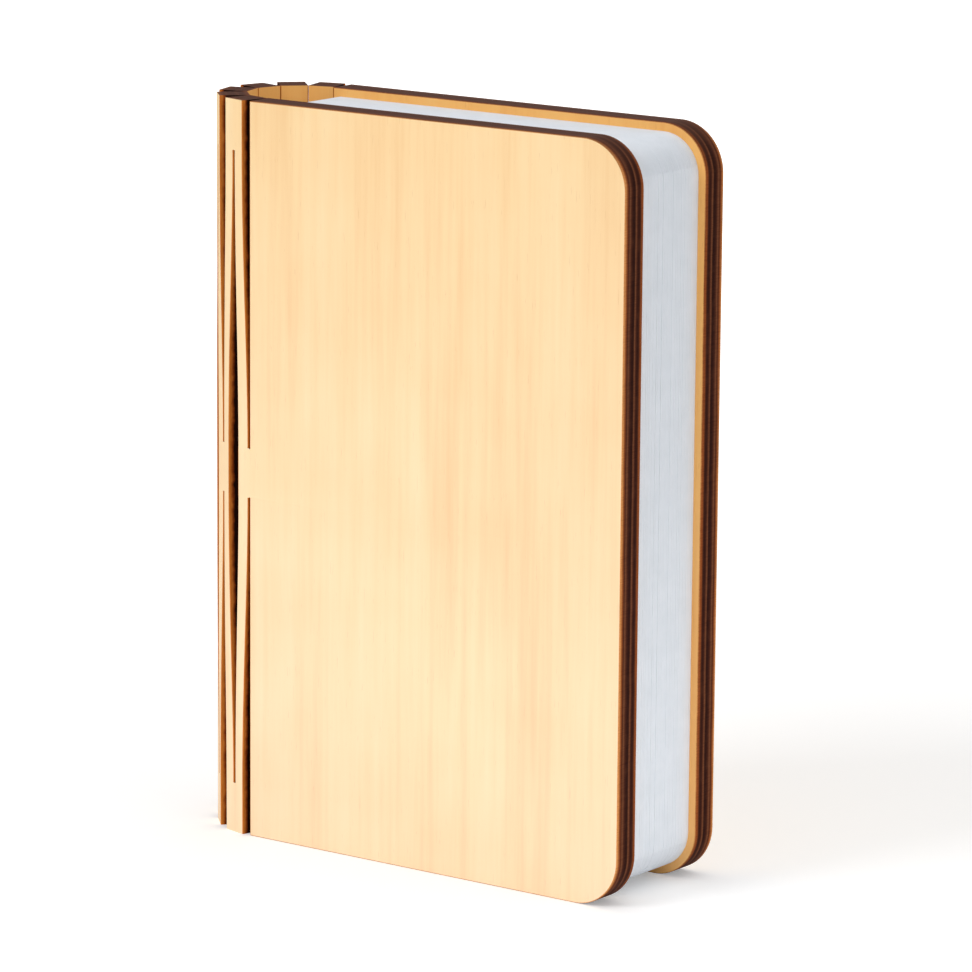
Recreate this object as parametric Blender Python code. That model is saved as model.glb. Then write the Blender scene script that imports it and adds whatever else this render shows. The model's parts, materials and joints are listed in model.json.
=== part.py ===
"""Folding book lamp: two plywood covers and a laser-cut living hinge round a pleated paper block.

The covers and the spine are cut from one sheet of plywood. Slots from the top and bottom edges
alternate with closed slots, so the spine is a chain of narrow beams that twist along their length.
Six slats (each a pair of beams between a top and a bottom tie) alternate with five bridges at
mid-height. A light bar stands in the hollow of the spine, taped to the middle bridge, and shines
into the pages.

Frame: X from the spine to the fore-edge, Y from the front cover to the back cover, Z up. The
origin is at the middle of the closed book's foot. Modelled closed, as it stands on a shelf.
"""

import math

import bmesh
import bpy
from mathutils import Matrix, Vector

MM = 0.001

# Plywood sheet
COVER_HEIGHT = 122.0 * MM
COVER_WIDTH = 73.7 * MM
BOARD_THICKNESS = 5.0 * MM
BOOK_THICKNESS = 27.0 * MM
CORNER_RADIUS = 8.0 * MM
CORNER_STEPS = 10

# Living hinge
SLAT_COUNT = 6
BEAM_COUNT = 2 * SLAT_COUNT
BEAM_TURN = math.pi / BEAM_COUNT
TIE_HEIGHT = 8.3 * MM
BRIDGE_HEIGHT = 8.2 * MM
CLOSED_GAP = 0.3 * MM
KERF = 0.4 * MM
TWIST_STEPS = 14

# Running gap between neighbouring solids
CLEARANCE = 0.3 * MM
OVERRUN = 2.0 * MM

# Pleated pages
PAGE_COUNT = BEAM_COUNT + 1
PAGE_INSET = 1.4 * MM
PAGE_START = 1.5 * MM
PAPER_GAP = 0.3 * MM

# Magnets that hold the covers back to back, and the one that works the switch
MAGNET_RADIUS = 4.0 * MM
MAGNET_THICKNESS = 2.0 * MM
MAGNET_SIDES = 32
MAGNET_FROM_FORE_EDGE = 8.0 * MM
MAGNET_FROM_END = 16.0 * MM
SWITCH_MAGNET_FROM_SPINE = 8.5 * MM
SWITCH_MAGNET_HEIGHT = 19.0 * MM

# Light bar, which fills the hollow of the spine up to a gap. Its plan was drawn for a housing of
# 7.6 mm radius, and BAR_MM is a millimetre of that drawing.
HOUSING_SPINE_GAP = 0.9 * MM
HOUSING_RADIUS = BOOK_THICKNESS / 2 - BOARD_THICKNESS - HOUSING_SPINE_GAP
BAR_MM = HOUSING_RADIUS / 7.6
HOUSING_HALF_WIDTH = 6.3 * BAR_MM
HOUSING_WALL = 1.2 * BAR_MM
HOUSING_BACK_HALF_ANGLE = math.radians(20.0)
HOUSING_MOUTH = 1.35 * BAR_MM
HOUSING_FOOT = 3.6 * MM
HOUSING_HEADROOM = 4.9 * MM
HOUSING_ARC_STEPS = 6
END_CAP_THICKNESS = 1.4 * MM
DIFFUSER_RISE = 1.8 * BAR_MM
DIFFUSER_WALL = 0.9 * BAR_MM
DIFFUSER_STEPS = 16
PAD_HEIGHT = 7.0 * MM
PAD_WIDTH = 3.8 * BAR_MM

# Electric parts in the light bar
BOARD_DEPTH = 0.8 * BAR_MM
BOARD_BEHIND_MOUTH = 0.2 * BAR_MM
CHARGE_BOARD_LENGTH = 22.0 * MM
LED_COUNT = 6
LED_WIDTH = 2.8 * BAR_MM
LED_HEIGHT = 3.5 * MM
LED_DEPTH = 0.6 * BAR_MM
LED_LENS_INSET = 0.35 * BAR_MM
CELL_DEPTH = 2.6 * BAR_MM
CELL_WIDTH = 6.0 * BAR_MM
CELL_LENGTH = 60.0 * MM
CELL_ROUNDING = 0.9 * BAR_MM
CELL_ABOVE_CHARGE_BOARD = 3.0 * MM
SOCKET_WIDTH = 7.4 * BAR_MM
SOCKET_DEPTH = 2.4 * BAR_MM
SOCKET_LENGTH = 5.6 * MM
SOCKET_SHELL = 0.35 * BAR_MM
SOCKET_CORNER = 0.7 * BAR_MM
SOCKET_THROAT = 4.4 * MM
REED_RADIUS = 1.0 * BAR_MM
REED_LENGTH = 10.0 * MM
REED_SIDES = 16
REED_ABOVE_SOCKET = 2.5 * MM


def smooth_share(share):
    """A smooth ramp from 0 to 1."""
    return share * share * (3 - 2 * share)


# Sizes that follow from the ones above
BEAM_PITCH = (BOOK_THICKNESS - BOARD_THICKNESS) * math.tan(BEAM_TURN / 2)
BEAM_WIDTH = (BEAM_PITCH - BOARD_THICKNESS * math.sin(BEAM_TURN) - CLOSED_GAP) / math.cos(BEAM_TURN)
SLOT_WIDTH = BEAM_PITCH - BEAM_WIDTH
BEAM_FLARE = (SLOT_WIDTH - KERF) / 2
EDGE_TO_AXIS = (
    BEAM_WIDTH / 2 * math.cos(BEAM_TURN) + BOARD_THICKNESS / 2 * math.sin(BEAM_TURN) + CLOSED_GAP
)
SPINE_RADIUS = (BOOK_THICKNESS - BOARD_THICKNESS) / 2
SPINE_CENTRE_FROM_AXIS = BEAM_PITCH / 2


def beam_half_depth(share):
    """Depth that a beam reaches outside its axis, at a share of its twist from tie to bridge."""
    angle = BEAM_TURN * (1 - share)
    half_width = BEAM_WIDTH / 2 + BEAM_FLARE * share
    return BOARD_THICKNESS / 2 * math.cos(angle) + half_width * math.sin(angle)


TWISTED_HALF_DEPTH = max(
    beam_half_depth(smooth_share(step / TWIST_STEPS)) for step in range(TWIST_STEPS + 1)
)
SPINE_REACH = EDGE_TO_AXIS - SPINE_CENTRE_FROM_AXIS + SPINE_RADIUS + TWISTED_HALF_DEPTH
EDGE_X = (SPINE_REACH - COVER_WIDTH) / 2
SPINE_CENTRE_X = EDGE_X - EDGE_TO_AXIS + SPINE_CENTRE_FROM_AXIS
FRONT_Y = -BOOK_THICKNESS / 2
BACK_Y = BOOK_THICKNESS / 2
MIDDLE_Z = COVER_HEIGHT / 2
STUB_LENGTH = EDGE_TO_AXIS - BEAM_WIDTH / 2 - CLEARANCE
INNER_THICKNESS = BOOK_THICKNESS - 2 * BOARD_THICKNESS
PAGE_THICKNESS = (INNER_THICKNESS - (PAGE_COUNT + 1) * CLEARANCE) / PAGE_COUNT
PAPER_THICKNESS = (PAGE_THICKNESS - PAPER_GAP) / 2
MIDDLE_BODY = BEAM_COUNT // 2
POCKET_RADIUS = MAGNET_RADIUS + CLEARANCE
POCKET_DEPTH = MAGNET_THICKNESS + CLEARANCE
MOUTH_X = SPINE_CENTRE_X - HOUSING_MOUTH
HOUSING_BACK_X = SPINE_CENTRE_X - HOUSING_RADIUS * math.cos(HOUSING_BACK_HALF_ANGLE)
SPINE_FACE_X = SPINE_CENTRE_X - SPINE_RADIUS + BOARD_THICKNESS / 2
HOUSING_LENGTH = COVER_HEIGHT - HOUSING_FOOT - HOUSING_HEADROOM
HOUSING_TOP = HOUSING_FOOT + HOUSING_LENGTH
ELECTRIC_BOARD_X = MOUTH_X - BOARD_BEHIND_MOUTH - BOARD_DEPTH
ELECTRIC_BOARD_HALF_WIDTH = HOUSING_HALF_WIDTH - HOUSING_WALL - CLEARANCE
CHARGE_BOARD_FOOT = HOUSING_FOOT + CLEARANCE
CHARGE_BOARD_TOP = CHARGE_BOARD_FOOT + CHARGE_BOARD_LENGTH
SOCKET_BACK_X = ELECTRIC_BOARD_X - CLEARANCE - SOCKET_DEPTH
PAGE_FRONT_X = EDGE_X + PAGE_START
PAGE_FORE_X = EDGE_X + COVER_WIDTH - PAGE_INSET


def beam_axes():
    """Plan positions of the beams' twist axes, from the front cover round to the back cover."""
    place = Vector((EDGE_X - EDGE_TO_AXIS, FRONT_Y + BOARD_THICKNESS / 2, 0))
    axes = [place]
    for number in range(1, BEAM_COUNT):
        angle = number * BEAM_TURN
        place = place + BEAM_PITCH * Vector((-math.cos(angle), math.sin(angle), 0))
        axes.append(place)
    return axes


BEAM_AXES = beam_axes()


def clear_scene():
    """Remove every object that the file opened with."""
    for item in list(bpy.data.objects):
        bpy.data.objects.remove(item, do_unlink=True)


def material(name, colour, roughness, metallic=0.0):
    """A Principled material, made once for each name."""
    found = bpy.data.materials.get(name)
    if found:
        return found
    made = bpy.data.materials.new(name)
    made.use_nodes = True
    shader = made.node_tree.nodes["Principled BSDF"]
    shader.inputs["Base Color"].default_value = (*colour, 1.0)
    shader.inputs["Roughness"].default_value = roughness
    shader.inputs["Metallic"].default_value = metallic
    made.diffuse_color = (*colour, 1.0)
    return made


def plywood():
    """Pale birch plywood."""
    return material("birch_plywood", (0.93, 0.74, 0.46), 0.6)


def paper():
    """White spun-fibre paper."""
    return material("white_paper", (0.82, 0.85, 0.9), 0.8)


def white_plastic():
    """White housing plastic."""
    return material("white_plastic", (0.85, 0.85, 0.83), 0.45)


def frosted_plastic():
    """Milky light diffuser."""
    return material("frosted_plastic", (0.9, 0.9, 0.88), 0.35)


def circuit_board():
    """Green circuit board."""
    return material("circuit_board", (0.03, 0.2, 0.08), 0.5)


def nickel():
    """Nickel plating on magnets and the socket shell."""
    return material("nickel", (0.72, 0.71, 0.69), 0.25, 1.0)


def pivot(name, place, carrier=None):
    """An empty on a joint's axis, carried by the one before it in the chain."""
    empty = bpy.data.objects.new(name, None)
    empty.empty_display_size = BOARD_THICKNESS
    bpy.context.scene.collection.objects.link(empty)
    if carrier:
        empty.parent = carrier
        empty.location = place - world_place(carrier)
    else:
        empty.location = place
    return empty


def world_place(item):
    """World position of an unturned chain of parents."""
    place = Vector(item.location)
    while item.parent:
        item = item.parent
        place += item.location
    return place


def add_object(name, shape, finish, carrier, place, turn=0.0, smooth=False):
    """Turn a bmesh into a named object at a world place, carried by an empty."""
    bmesh.ops.recalc_face_normals(shape, faces=shape.faces[:])
    mesh = bpy.data.meshes.new(name)
    shape.to_mesh(mesh)
    shape.free()
    mesh.materials.append(finish)
    if smooth:
        mesh.shade_smooth()
        mesh.set_sharp_from_angle(angle=math.radians(35.0))
    made = bpy.data.objects.new(name, mesh)
    bpy.context.scene.collection.objects.link(made)
    made.parent = carrier
    made.location = place - world_place(carrier)
    made.rotation_euler[2] = turn
    return made


def extrude_outline(points, depth):
    """A closed prism: one outline swept along a depth vector."""
    shape = bmesh.new()
    corners = [shape.verts.new(point) for point in points]
    face = shape.faces.new(corners)
    swept = bmesh.ops.extrude_face_region(shape, geom=[face])
    moved = [item for item in swept["geom"] if isinstance(item, bmesh.types.BMVert)]
    bmesh.ops.translate(shape, verts=moved, vec=depth)
    return shape


def corner_arc(centre_x, centre_z, radius, start):
    """Quarter arc in the X-Z plane, anticlockwise from a start angle."""
    points = []
    for step in range(CORNER_STEPS + 1):
        angle = start + math.pi / 2 * step / CORNER_STEPS
        points.append(
            Vector((centre_x + radius * math.cos(angle), 0, centre_z + radius * math.sin(angle)))
        )
    return points


def rounded_leaf_outline(left, right, bottom, top, radius):
    """Outline of a board or page with its two fore-edge corners rounded."""
    points = [Vector((left, 0, bottom))]
    points += corner_arc(right - radius, bottom + radius, radius, -math.pi / 2)
    points += corner_arc(right - radius, top - radius, radius, 0.0)
    points.append(Vector((left, 0, top)))
    return points


def cutter(name, shape, place, carrier, turn=0.0):
    """A hidden Boolean cutter, drawn as wire."""
    made = add_object(name, shape, plywood(), carrier, place, turn)
    made.hide_render = True
    made.display_type = "WIRE"
    return made


def subtract(target, tool):
    """Cut one object from another with an exact Boolean."""
    cut = target.modifiers.new("cut " + tool.name, "BOOLEAN")
    cut.operation = "DIFFERENCE"
    cut.solver = "EXACT"
    cut.object = tool


def cover(name, outer_y, inward, magnet_places, carrier):
    """One cover board with its hinge stub and the blind magnet pockets in its inner face.

    outer_y is the plane of the outer face, and inward is +1 or -1, the Y direction into the book.
    """
    left = -STUB_LENGTH
    outline = rounded_leaf_outline(0, COVER_WIDTH, 0, COVER_HEIGHT, CORNER_RADIUS)
    half = BRIDGE_HEIGHT / 2
    outline += [
        Vector((0, 0, MIDDLE_Z + half)),
        Vector((left, 0, MIDDLE_Z + half)),
        Vector((left, 0, MIDDLE_Z - half)),
        Vector((0, 0, MIDDLE_Z - half)),
    ]
    shape = extrude_outline(outline, Vector((0, inward * BOARD_THICKNESS, 0)))
    board = add_object(name, shape, plywood(), carrier, Vector((EDGE_X, outer_y, 0)))
    inner_y = outer_y + inward * BOARD_THICKNESS
    for number, (x, z) in enumerate(magnet_places, 1):
        pocket = disc(POCKET_RADIUS, POCKET_DEPTH + OVERRUN, MAGNET_SIDES)
        middle = inner_y - inward * (POCKET_DEPTH - OVERRUN) / 2
        tool = cutter(f"{name}_pocket_{number}", pocket, Vector((x, middle, z)), carrier)
        subtract(board, tool)
    return board


def disc(radius, thickness, sides):
    """A disc whose axis is Y, centred on its own origin."""
    shape = bmesh.new()
    bmesh.ops.create_cone(
        shape, cap_ends=True, segments=sides, radius1=radius, radius2=radius, depth=thickness
    )
    bmesh.ops.rotate(shape, verts=shape.verts, matrix=Matrix.Rotation(math.pi / 2, 3, "X"))
    return shape


def magnet(name, x, z, outer_y, inward, carrier):
    """A disc magnet, flush with the cover's inner face."""
    inner_y = outer_y + inward * BOARD_THICKNESS
    middle = inner_y - inward * MAGNET_THICKNESS / 2
    shape = disc(MAGNET_RADIUS, MAGNET_THICKNESS, MAGNET_SIDES)
    add_object(name, shape, nickel(), carrier, Vector((x, middle, z)), smooth=True)


def twist_levels():
    """Heights along a beam with the share of its full twist at each, from the foot to the top."""
    low = MIDDLE_Z - BRIDGE_HEIGHT / 2
    span = low - TIE_HEIGHT
    lower = []
    for step in range(TWIST_STEPS + 1):
        share = step / TWIST_STEPS
        lower.append((TIE_HEIGHT + span * share, smooth_share(share)))
    upper = [(COVER_HEIGHT - height, share) for height, share in reversed(lower)]
    return lower + upper


def slat_ring():
    """One slat in its own frame: X along the spine, +Y outwards, two beams between two ties.

    Each beam twists about its own axis, the first backwards and the second forwards, from the
    ties' plane to the next bridges' plane at mid-height. It also leans, from its partner in the
    tie to its neighbour across the bridge, so each slot is a kerf at its end and opens from there.
    """
    shape = bmesh.new()
    sides = [-BOARD_THICKNESS / 2, BOARD_THICKNESS / 2]
    levels = [(0.0, 0.0)] + twist_levels() + [(COVER_HEIGHT, 0.0)]

    def corner(column, side, height, share):
        """One vertex of the lattice, turned about its beam's axis."""
        hand = -1 if column < 2 else 1
        centre = hand * BEAM_PITCH / 2
        is_outer = column in (0, 3)
        facing = hand if is_outer else -hand
        half_width = BEAM_WIDTH / 2 + BEAM_FLARE * (share if is_outer else 1 - share)
        arm = Matrix.Rotation(-hand * share * BEAM_TURN, 3, "Z") @ Vector(
            (facing * half_width, sides[side], 0)
        )
        return shape.verts.new((centre + arm.x, arm.y, height))

    grid = [
        [[corner(column, side, *level) for side in (0, 1)] for column in range(4)]
        for level in levels
    ]
    last = len(levels) - 2
    for row in range(len(levels) - 1):
        below, above = grid[row], grid[row + 1]
        is_tie = row in (0, last)
        for column in range(3):
            if column == 1 and not is_tie:
                continue
            for side in (0, 1):
                shape.faces.new(
                    [
                        below[column][side],
                        below[column + 1][side],
                        above[column + 1][side],
                        above[column][side],
                    ]
                )
        walls = (0, 3) if is_tie else (0, 1, 2, 3)
        for column in walls:
            shape.faces.new(
                [below[column][0], below[column][1], above[column][1], above[column][0]]
            )
    for row, cells in ((0, (0, 1, 2)), (1, (1,)), (last, (1,)), (last + 1, (0, 1, 2))):
        for column in cells:
            level = grid[row]
            shape.faces.new(
                [level[column][0], level[column + 1][0], level[column + 1][1], level[column][1]]
            )
    return shape


def spine_slat(number, carrier):
    """One slat of the living hinge, at its own angle round the spine."""
    body = 2 * number - 1
    place = (BEAM_AXES[body - 1] + BEAM_AXES[body]) / 2
    turn = math.pi - body * BEAM_TURN
    name = f"spine_slat_{number}"
    slat = add_object(name, slat_ring(), plywood(), carrier, place, turn)
    for hand, axis in ((-1, BEAM_AXES[body - 1]), (1, BEAM_AXES[body])):
        subtract(slat, bridge_notch(f"{name}_notch_{body + hand}", body, hand, axis, carrier))


def bridge_notch(name, body, hand, axis, carrier):
    """Cutter for the seat of the bridge, or of the cover's stub, in the edge of one beam."""
    turn = math.pi - (body + hand) * BEAM_TURN
    along = Vector((math.cos(turn), math.sin(turn), 0))
    height = BRIDGE_HEIGHT + 2 * CLEARANCE
    shape = block(SLOT_WIDTH, BOARD_THICKNESS + 2 * OVERRUN, height)
    bmesh.ops.translate(shape, verts=shape.verts, vec=Vector((-SLOT_WIDTH / 2, 0, 0)))
    place = axis + hand * BEAM_PITCH / 2 * along + Vector((0, 0, MIDDLE_Z - height / 2))
    return cutter(name, shape, place, carrier, turn)


def spine_bridge(number, carrier):
    """The mid-height web between two slats."""
    body = 2 * number
    place = (BEAM_AXES[body - 1] + BEAM_AXES[body]) / 2
    half_x = SLOT_WIDTH / 2 - CLEARANCE
    half_y = BOARD_THICKNESS / 2
    foot = MIDDLE_Z - BRIDGE_HEIGHT / 2
    outline = [
        Vector((-half_x, -half_y, foot)),
        Vector((half_x, -half_y, foot)),
        Vector((half_x, half_y, foot)),
        Vector((-half_x, half_y, foot)),
    ]
    shape = extrude_outline(outline, Vector((0, 0, BRIDGE_HEIGHT)))
    turn = math.pi - body * BEAM_TURN
    add_object(f"spine_bridge_{number}", shape, plywood(), carrier, place, turn)


def page(number, carrier):
    """One pleat of the paper block: a folded sheet, its fold at the fore-edge."""
    front = FRONT_Y + BOARD_THICKNESS + CLEARANCE + number * (PAGE_THICKNESS + CLEARANCE)
    radius = CORNER_RADIUS - PAGE_INSET
    length = PAGE_FORE_X - PAGE_FRONT_X
    outline = rounded_leaf_outline(0, length, PAGE_INSET, COVER_HEIGHT - PAGE_INSET, radius)
    shape = extrude_outline(outline, Vector((0, PAGE_THICKNESS, 0)))
    name = f"page_{number:02d}"
    leaf = add_object(name, shape, paper(), carrier, Vector((PAGE_FRONT_X, front, 0)))
    fold_x = length - PAPER_THICKNESS
    slit = [
        Vector((-OVERRUN, PAPER_THICKNESS, -OVERRUN)),
        Vector((fold_x, PAPER_THICKNESS, -OVERRUN)),
        Vector((fold_x, PAPER_THICKNESS, COVER_HEIGHT + OVERRUN)),
        Vector((-OVERRUN, PAPER_THICKNESS, COVER_HEIGHT + OVERRUN)),
    ]
    opening = extrude_outline(slit, Vector((0, PAPER_GAP, 0)))
    subtract(leaf, cutter(name + "_slit", opening, Vector((PAGE_FRONT_X, front, 0)), carrier))


def housing_side(radius, half_width):
    """Half of the housing's plan profile, from the mouth round to the flat back, at +Y."""
    start = math.asin(half_width / radius)
    points = [Vector((MOUTH_X, half_width, 0))]
    for step in range(HOUSING_ARC_STEPS + 1):
        angle = start + (HOUSING_BACK_HALF_ANGLE - start) * step / HOUSING_ARC_STEPS
        points.append(
            Vector((SPINE_CENTRE_X - radius * math.cos(angle), radius * math.sin(angle), 0))
        )
    return points


def mirrored(points):
    """The same points at -Y, in reverse order."""
    return [Vector((point.x, -point.y, point.z)) for point in reversed(points)]


def light_housing(carrier):
    """The open channel that holds the cell and the boards."""
    outer = housing_side(HOUSING_RADIUS, HOUSING_HALF_WIDTH)
    inner = housing_side(HOUSING_RADIUS - HOUSING_WALL, HOUSING_HALF_WIDTH - HOUSING_WALL)
    outline = outer + mirrored(outer) + inner_return(inner)
    shape = extrude_outline(outline, Vector((0, 0, HOUSING_LENGTH)))
    add_object("light_housing", shape, white_plastic(), carrier, Vector((0, 0, HOUSING_FOOT)))


def inner_return(inner):
    """The channel's inside, walked back from the -Y lip to the +Y lip."""
    forward = inner + mirrored(inner)
    return list(reversed(forward))


def end_cap(name, foot, carrier, with_port):
    """A plate that closes one end of the bar; the lower one has the charging port's hole."""
    dome = diffuser_arc(HOUSING_HALF_WIDTH, DIFFUSER_RISE)
    side = housing_side(HOUSING_RADIUS, HOUSING_HALF_WIDTH)
    outline = side + mirrored(side) + dome
    shape = extrude_outline(outline, Vector((0, 0, END_CAP_THICKNESS)))
    cap = add_object(name, shape, white_plastic(), carrier, Vector((0, 0, foot)))
    if with_port:
        hole = extrude_outline(
            socket_outline(CLEARANCE), Vector((0, 0, END_CAP_THICKNESS + 2 * OVERRUN))
        )
        place = Vector((SOCKET_BACK_X, 0, foot - OVERRUN))
        subtract(cap, cutter(name + "_port", hole, place, carrier))


def diffuser_arc(half_width, rise):
    """Front curve of the diffuser, from -Y to +Y, as an arc of its chord and rise."""
    radius = (half_width**2 + rise**2) / (2 * rise)
    span = math.asin(half_width / radius)
    centre_x = MOUTH_X + CLEARANCE + rise - radius
    points = []
    for step in range(DIFFUSER_STEPS + 1):
        angle = span * (2 * step / DIFFUSER_STEPS - 1)
        points.append(
            Vector((centre_x + radius * math.cos(angle), radius * math.sin(angle), 0))
        )
    return points


def light_diffuser(carrier):
    """The frosted cover that closes the channel's mouth."""
    outer = diffuser_arc(HOUSING_HALF_WIDTH, DIFFUSER_RISE)
    inner = diffuser_arc(HOUSING_HALF_WIDTH - DIFFUSER_WALL, DIFFUSER_RISE - DIFFUSER_WALL)
    outline = outer + list(reversed(inner))
    shape = extrude_outline(outline, Vector((0, 0, HOUSING_LENGTH)))
    place = Vector((0, 0, HOUSING_FOOT))
    add_object("light_diffuser", shape, frosted_plastic(), carrier, place, smooth=True)


def block(width_x, width_y, height):
    """A box with one lower corner at its own origin in X and Z, centred in Y."""
    half = width_y / 2
    outline = [
        Vector((0, -half, 0)),
        Vector((width_x, -half, 0)),
        Vector((width_x, half, 0)),
        Vector((0, half, 0)),
    ]
    return extrude_outline(outline, Vector((0, 0, height)))


def adhesive_pad(carrier):
    """A foam tape pad between the housing's back and the middle bridge with its beams."""
    depth = HOUSING_BACK_X - SPINE_FACE_X - 2 * CLEARANCE
    shape = block(depth, PAD_WIDTH, PAD_HEIGHT)
    finish = material("foam_tape", (0.75, 0.75, 0.72), 0.9)
    place = Vector((SPINE_FACE_X + CLEARANCE, 0, MIDDLE_Z - PAD_HEIGHT / 2))
    add_object("adhesive_pad", shape, finish, carrier, place)


def boards(carrier):
    """The charging board at the foot and the strip with the light-emitting diodes above it."""
    width = 2 * ELECTRIC_BOARD_HALF_WIDTH
    charge = block(BOARD_DEPTH, width, CHARGE_BOARD_LENGTH)
    place = Vector((ELECTRIC_BOARD_X, 0, CHARGE_BOARD_FOOT))
    add_object("charge_board", charge, circuit_board(), carrier, place)
    foot = CHARGE_BOARD_TOP + CLEARANCE
    length = HOUSING_TOP - CLEARANCE - foot
    strip = block(BOARD_DEPTH, width, length)
    finish = material("white_circuit_board", (0.85, 0.87, 0.85), 0.4)
    add_object("led_board", strip, finish, carrier, Vector((ELECTRIC_BOARD_X, 0, foot)))
    face_x = ELECTRIC_BOARD_X + BOARD_DEPTH + CLEARANCE
    for number in range(1, LED_COUNT + 1):
        middle = foot + length * (number - 0.5) / LED_COUNT
        place = Vector((face_x, 0, middle - LED_HEIGHT / 2))
        led(number, place, carrier)


def led(number, place, carrier):
    """One surface-mounted diode: a white frame with its lens set back in the front."""
    shape = block(LED_DEPTH, LED_WIDTH, LED_HEIGHT)
    shape.faces.ensure_lookup_table()
    front = max(shape.faces, key=lambda face: face.calc_center_median().x)
    bmesh.ops.inset_region(shape, faces=[front], thickness=LED_LENS_INSET)
    bmesh.ops.translate(shape, verts=front.verts[:], vec=Vector((-LED_LENS_INSET / 2, 0, 0)))
    finish = material("led_white", (0.9, 0.85, 0.55), 0.3)
    add_object(f"led_{number}", shape, finish, carrier, place)


def battery_cell(carrier):
    """A slim lithium pouch cell behind the strip."""
    shape = block(CELL_DEPTH, CELL_WIDTH, CELL_LENGTH)
    tall = [edge for edge in shape.edges if abs(edge.verts[0].co.z - edge.verts[1].co.z) > 0]
    bmesh.ops.bevel(
        shape, geom=tall, offset=CELL_ROUNDING, segments=3, profile=0.5, affect="EDGES"
    )
    finish = material("cell_foil", (0.6, 0.62, 0.65), 0.4, 0.6)
    x = ELECTRIC_BOARD_X - CLEARANCE - CELL_DEPTH
    foot = CHARGE_BOARD_TOP + CELL_ABOVE_CHARGE_BOARD
    add_object("battery_cell", shape, finish, carrier, Vector((x, 0, foot)), smooth=True)


def socket_outline(margin):
    """Plan outline of the charging socket, drawn out by a margin: two corners are cut off."""
    half = SOCKET_WIDTH / 2 + margin
    near = -margin
    far = SOCKET_DEPTH + margin
    cut = SOCKET_CORNER
    return [
        Vector((near + cut, -half, 0)),
        Vector((far, -half, 0)),
        Vector((far, half, 0)),
        Vector((near + cut, half, 0)),
        Vector((near, half - cut, 0)),
        Vector((near, cut - half, 0)),
    ]


def usb_socket(carrier):
    """The charging socket's steel shell, open at its foot, flush with the end cap."""
    shape = extrude_outline(socket_outline(0.0), Vector((0, 0, SOCKET_LENGTH)))
    foot = HOUSING_FOOT - CLEARANCE - END_CAP_THICKNESS
    place = Vector((SOCKET_BACK_X, 0, foot))
    socket = add_object("usb_socket", shape, nickel(), carrier, place)
    throat = extrude_outline(socket_outline(-SOCKET_SHELL), Vector((0, 0, SOCKET_THROAT + OVERRUN)))
    tool = cutter("usb_throat", throat, place - Vector((0, 0, OVERRUN)), carrier)
    subtract(socket, tool)


def reed_switch(carrier):
    """The glass switch that a magnet in the front cover holds off while the book is shut."""
    shape = bmesh.new()
    bmesh.ops.create_cone(
        shape,
        cap_ends=True,
        segments=REED_SIDES,
        radius1=REED_RADIUS,
        radius2=REED_RADIUS,
        depth=REED_LENGTH,
    )
    finish = material("reed_glass", (0.3, 0.5, 0.4), 0.1)
    foot = HOUSING_FOOT - END_CAP_THICKNESS + SOCKET_LENGTH + REED_ABOVE_SOCKET
    place = Vector((ELECTRIC_BOARD_X - CLEARANCE - REED_RADIUS, 0, foot + REED_LENGTH / 2))
    add_object("reed_switch", shape, finish, carrier, place, smooth=True)


def light_bar(carrier):
    """The whole bar, carried by the middle bridge."""
    light_housing(carrier)
    light_diffuser(carrier)
    foot = HOUSING_FOOT - CLEARANCE - END_CAP_THICKNESS
    end_cap("end_cap_bottom", foot, carrier, with_port=True)
    end_cap("end_cap_top", HOUSING_TOP + CLEARANCE, carrier, with_port=False)
    adhesive_pad(carrier)
    boards(carrier)
    battery_cell(carrier)
    usb_socket(carrier)
    reed_switch(carrier)


def build_chain():
    """Empties on the hinge axes, one a beam, from the back cover to the front cover."""
    root = pivot("book_lamp", Vector((0, 0, 0)))
    carriers = {BEAM_COUNT: root}
    for body in range(BEAM_COUNT - 1, -1, -1):
        carriers[body] = pivot(f"hinge_{body + 1}", BEAM_AXES[body], carriers[body + 1])
    return carriers


def magnet_places():
    """X and Z of the two magnets near a cover's fore-edge."""
    x = EDGE_X + COVER_WIDTH - MAGNET_FROM_FORE_EDGE
    return [(x, MAGNET_FROM_END), (x, COVER_HEIGHT - MAGNET_FROM_END)]


def main():
    """Build the closed lamp."""
    clear_scene()
    carriers = build_chain()
    front, back = carriers[0], carriers[BEAM_COUNT]
    places = magnet_places()
    switch = (EDGE_X + SWITCH_MAGNET_FROM_SPINE, SWITCH_MAGNET_HEIGHT)
    cover("front_cover", FRONT_Y, 1, places + [switch], front)
    cover("back_cover", BACK_Y, -1, places, back)
    for (x, z), end in zip(places, ("bottom", "top")):
        magnet(f"front_magnet_{end}", x, z, FRONT_Y, 1, front)
        magnet(f"back_magnet_{end}", x, z, BACK_Y, -1, back)
    magnet("switch_magnet", *switch, FRONT_Y, 1, front)
    for number in range(1, SLAT_COUNT + 1):
        spine_slat(number, carriers[2 * number - 1])
    for number in range(1, SLAT_COUNT):
        spine_bridge(number, carriers[2 * number])
    for number in range(PAGE_COUNT):
        page(number, carriers[number])
    light_bar(carriers[MIDDLE_BODY])


main()
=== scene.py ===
"""Looks of a folding book lamp with plywood covers, a laser-cut hinge and a pleated paper block.

The frame gives every size that the moving parts share. This script models the plywood sheet, the
twisting hinge beams and the paper pleats round that frame, dresses each piece and sets the studio.
"""

from __future__ import annotations

import json
import logging
import math
import random
from collections.abc import Callable
from dataclasses import dataclass
from enum import Enum

import bmesh
import bpy
from mathutils import Matrix, Vector


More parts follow.
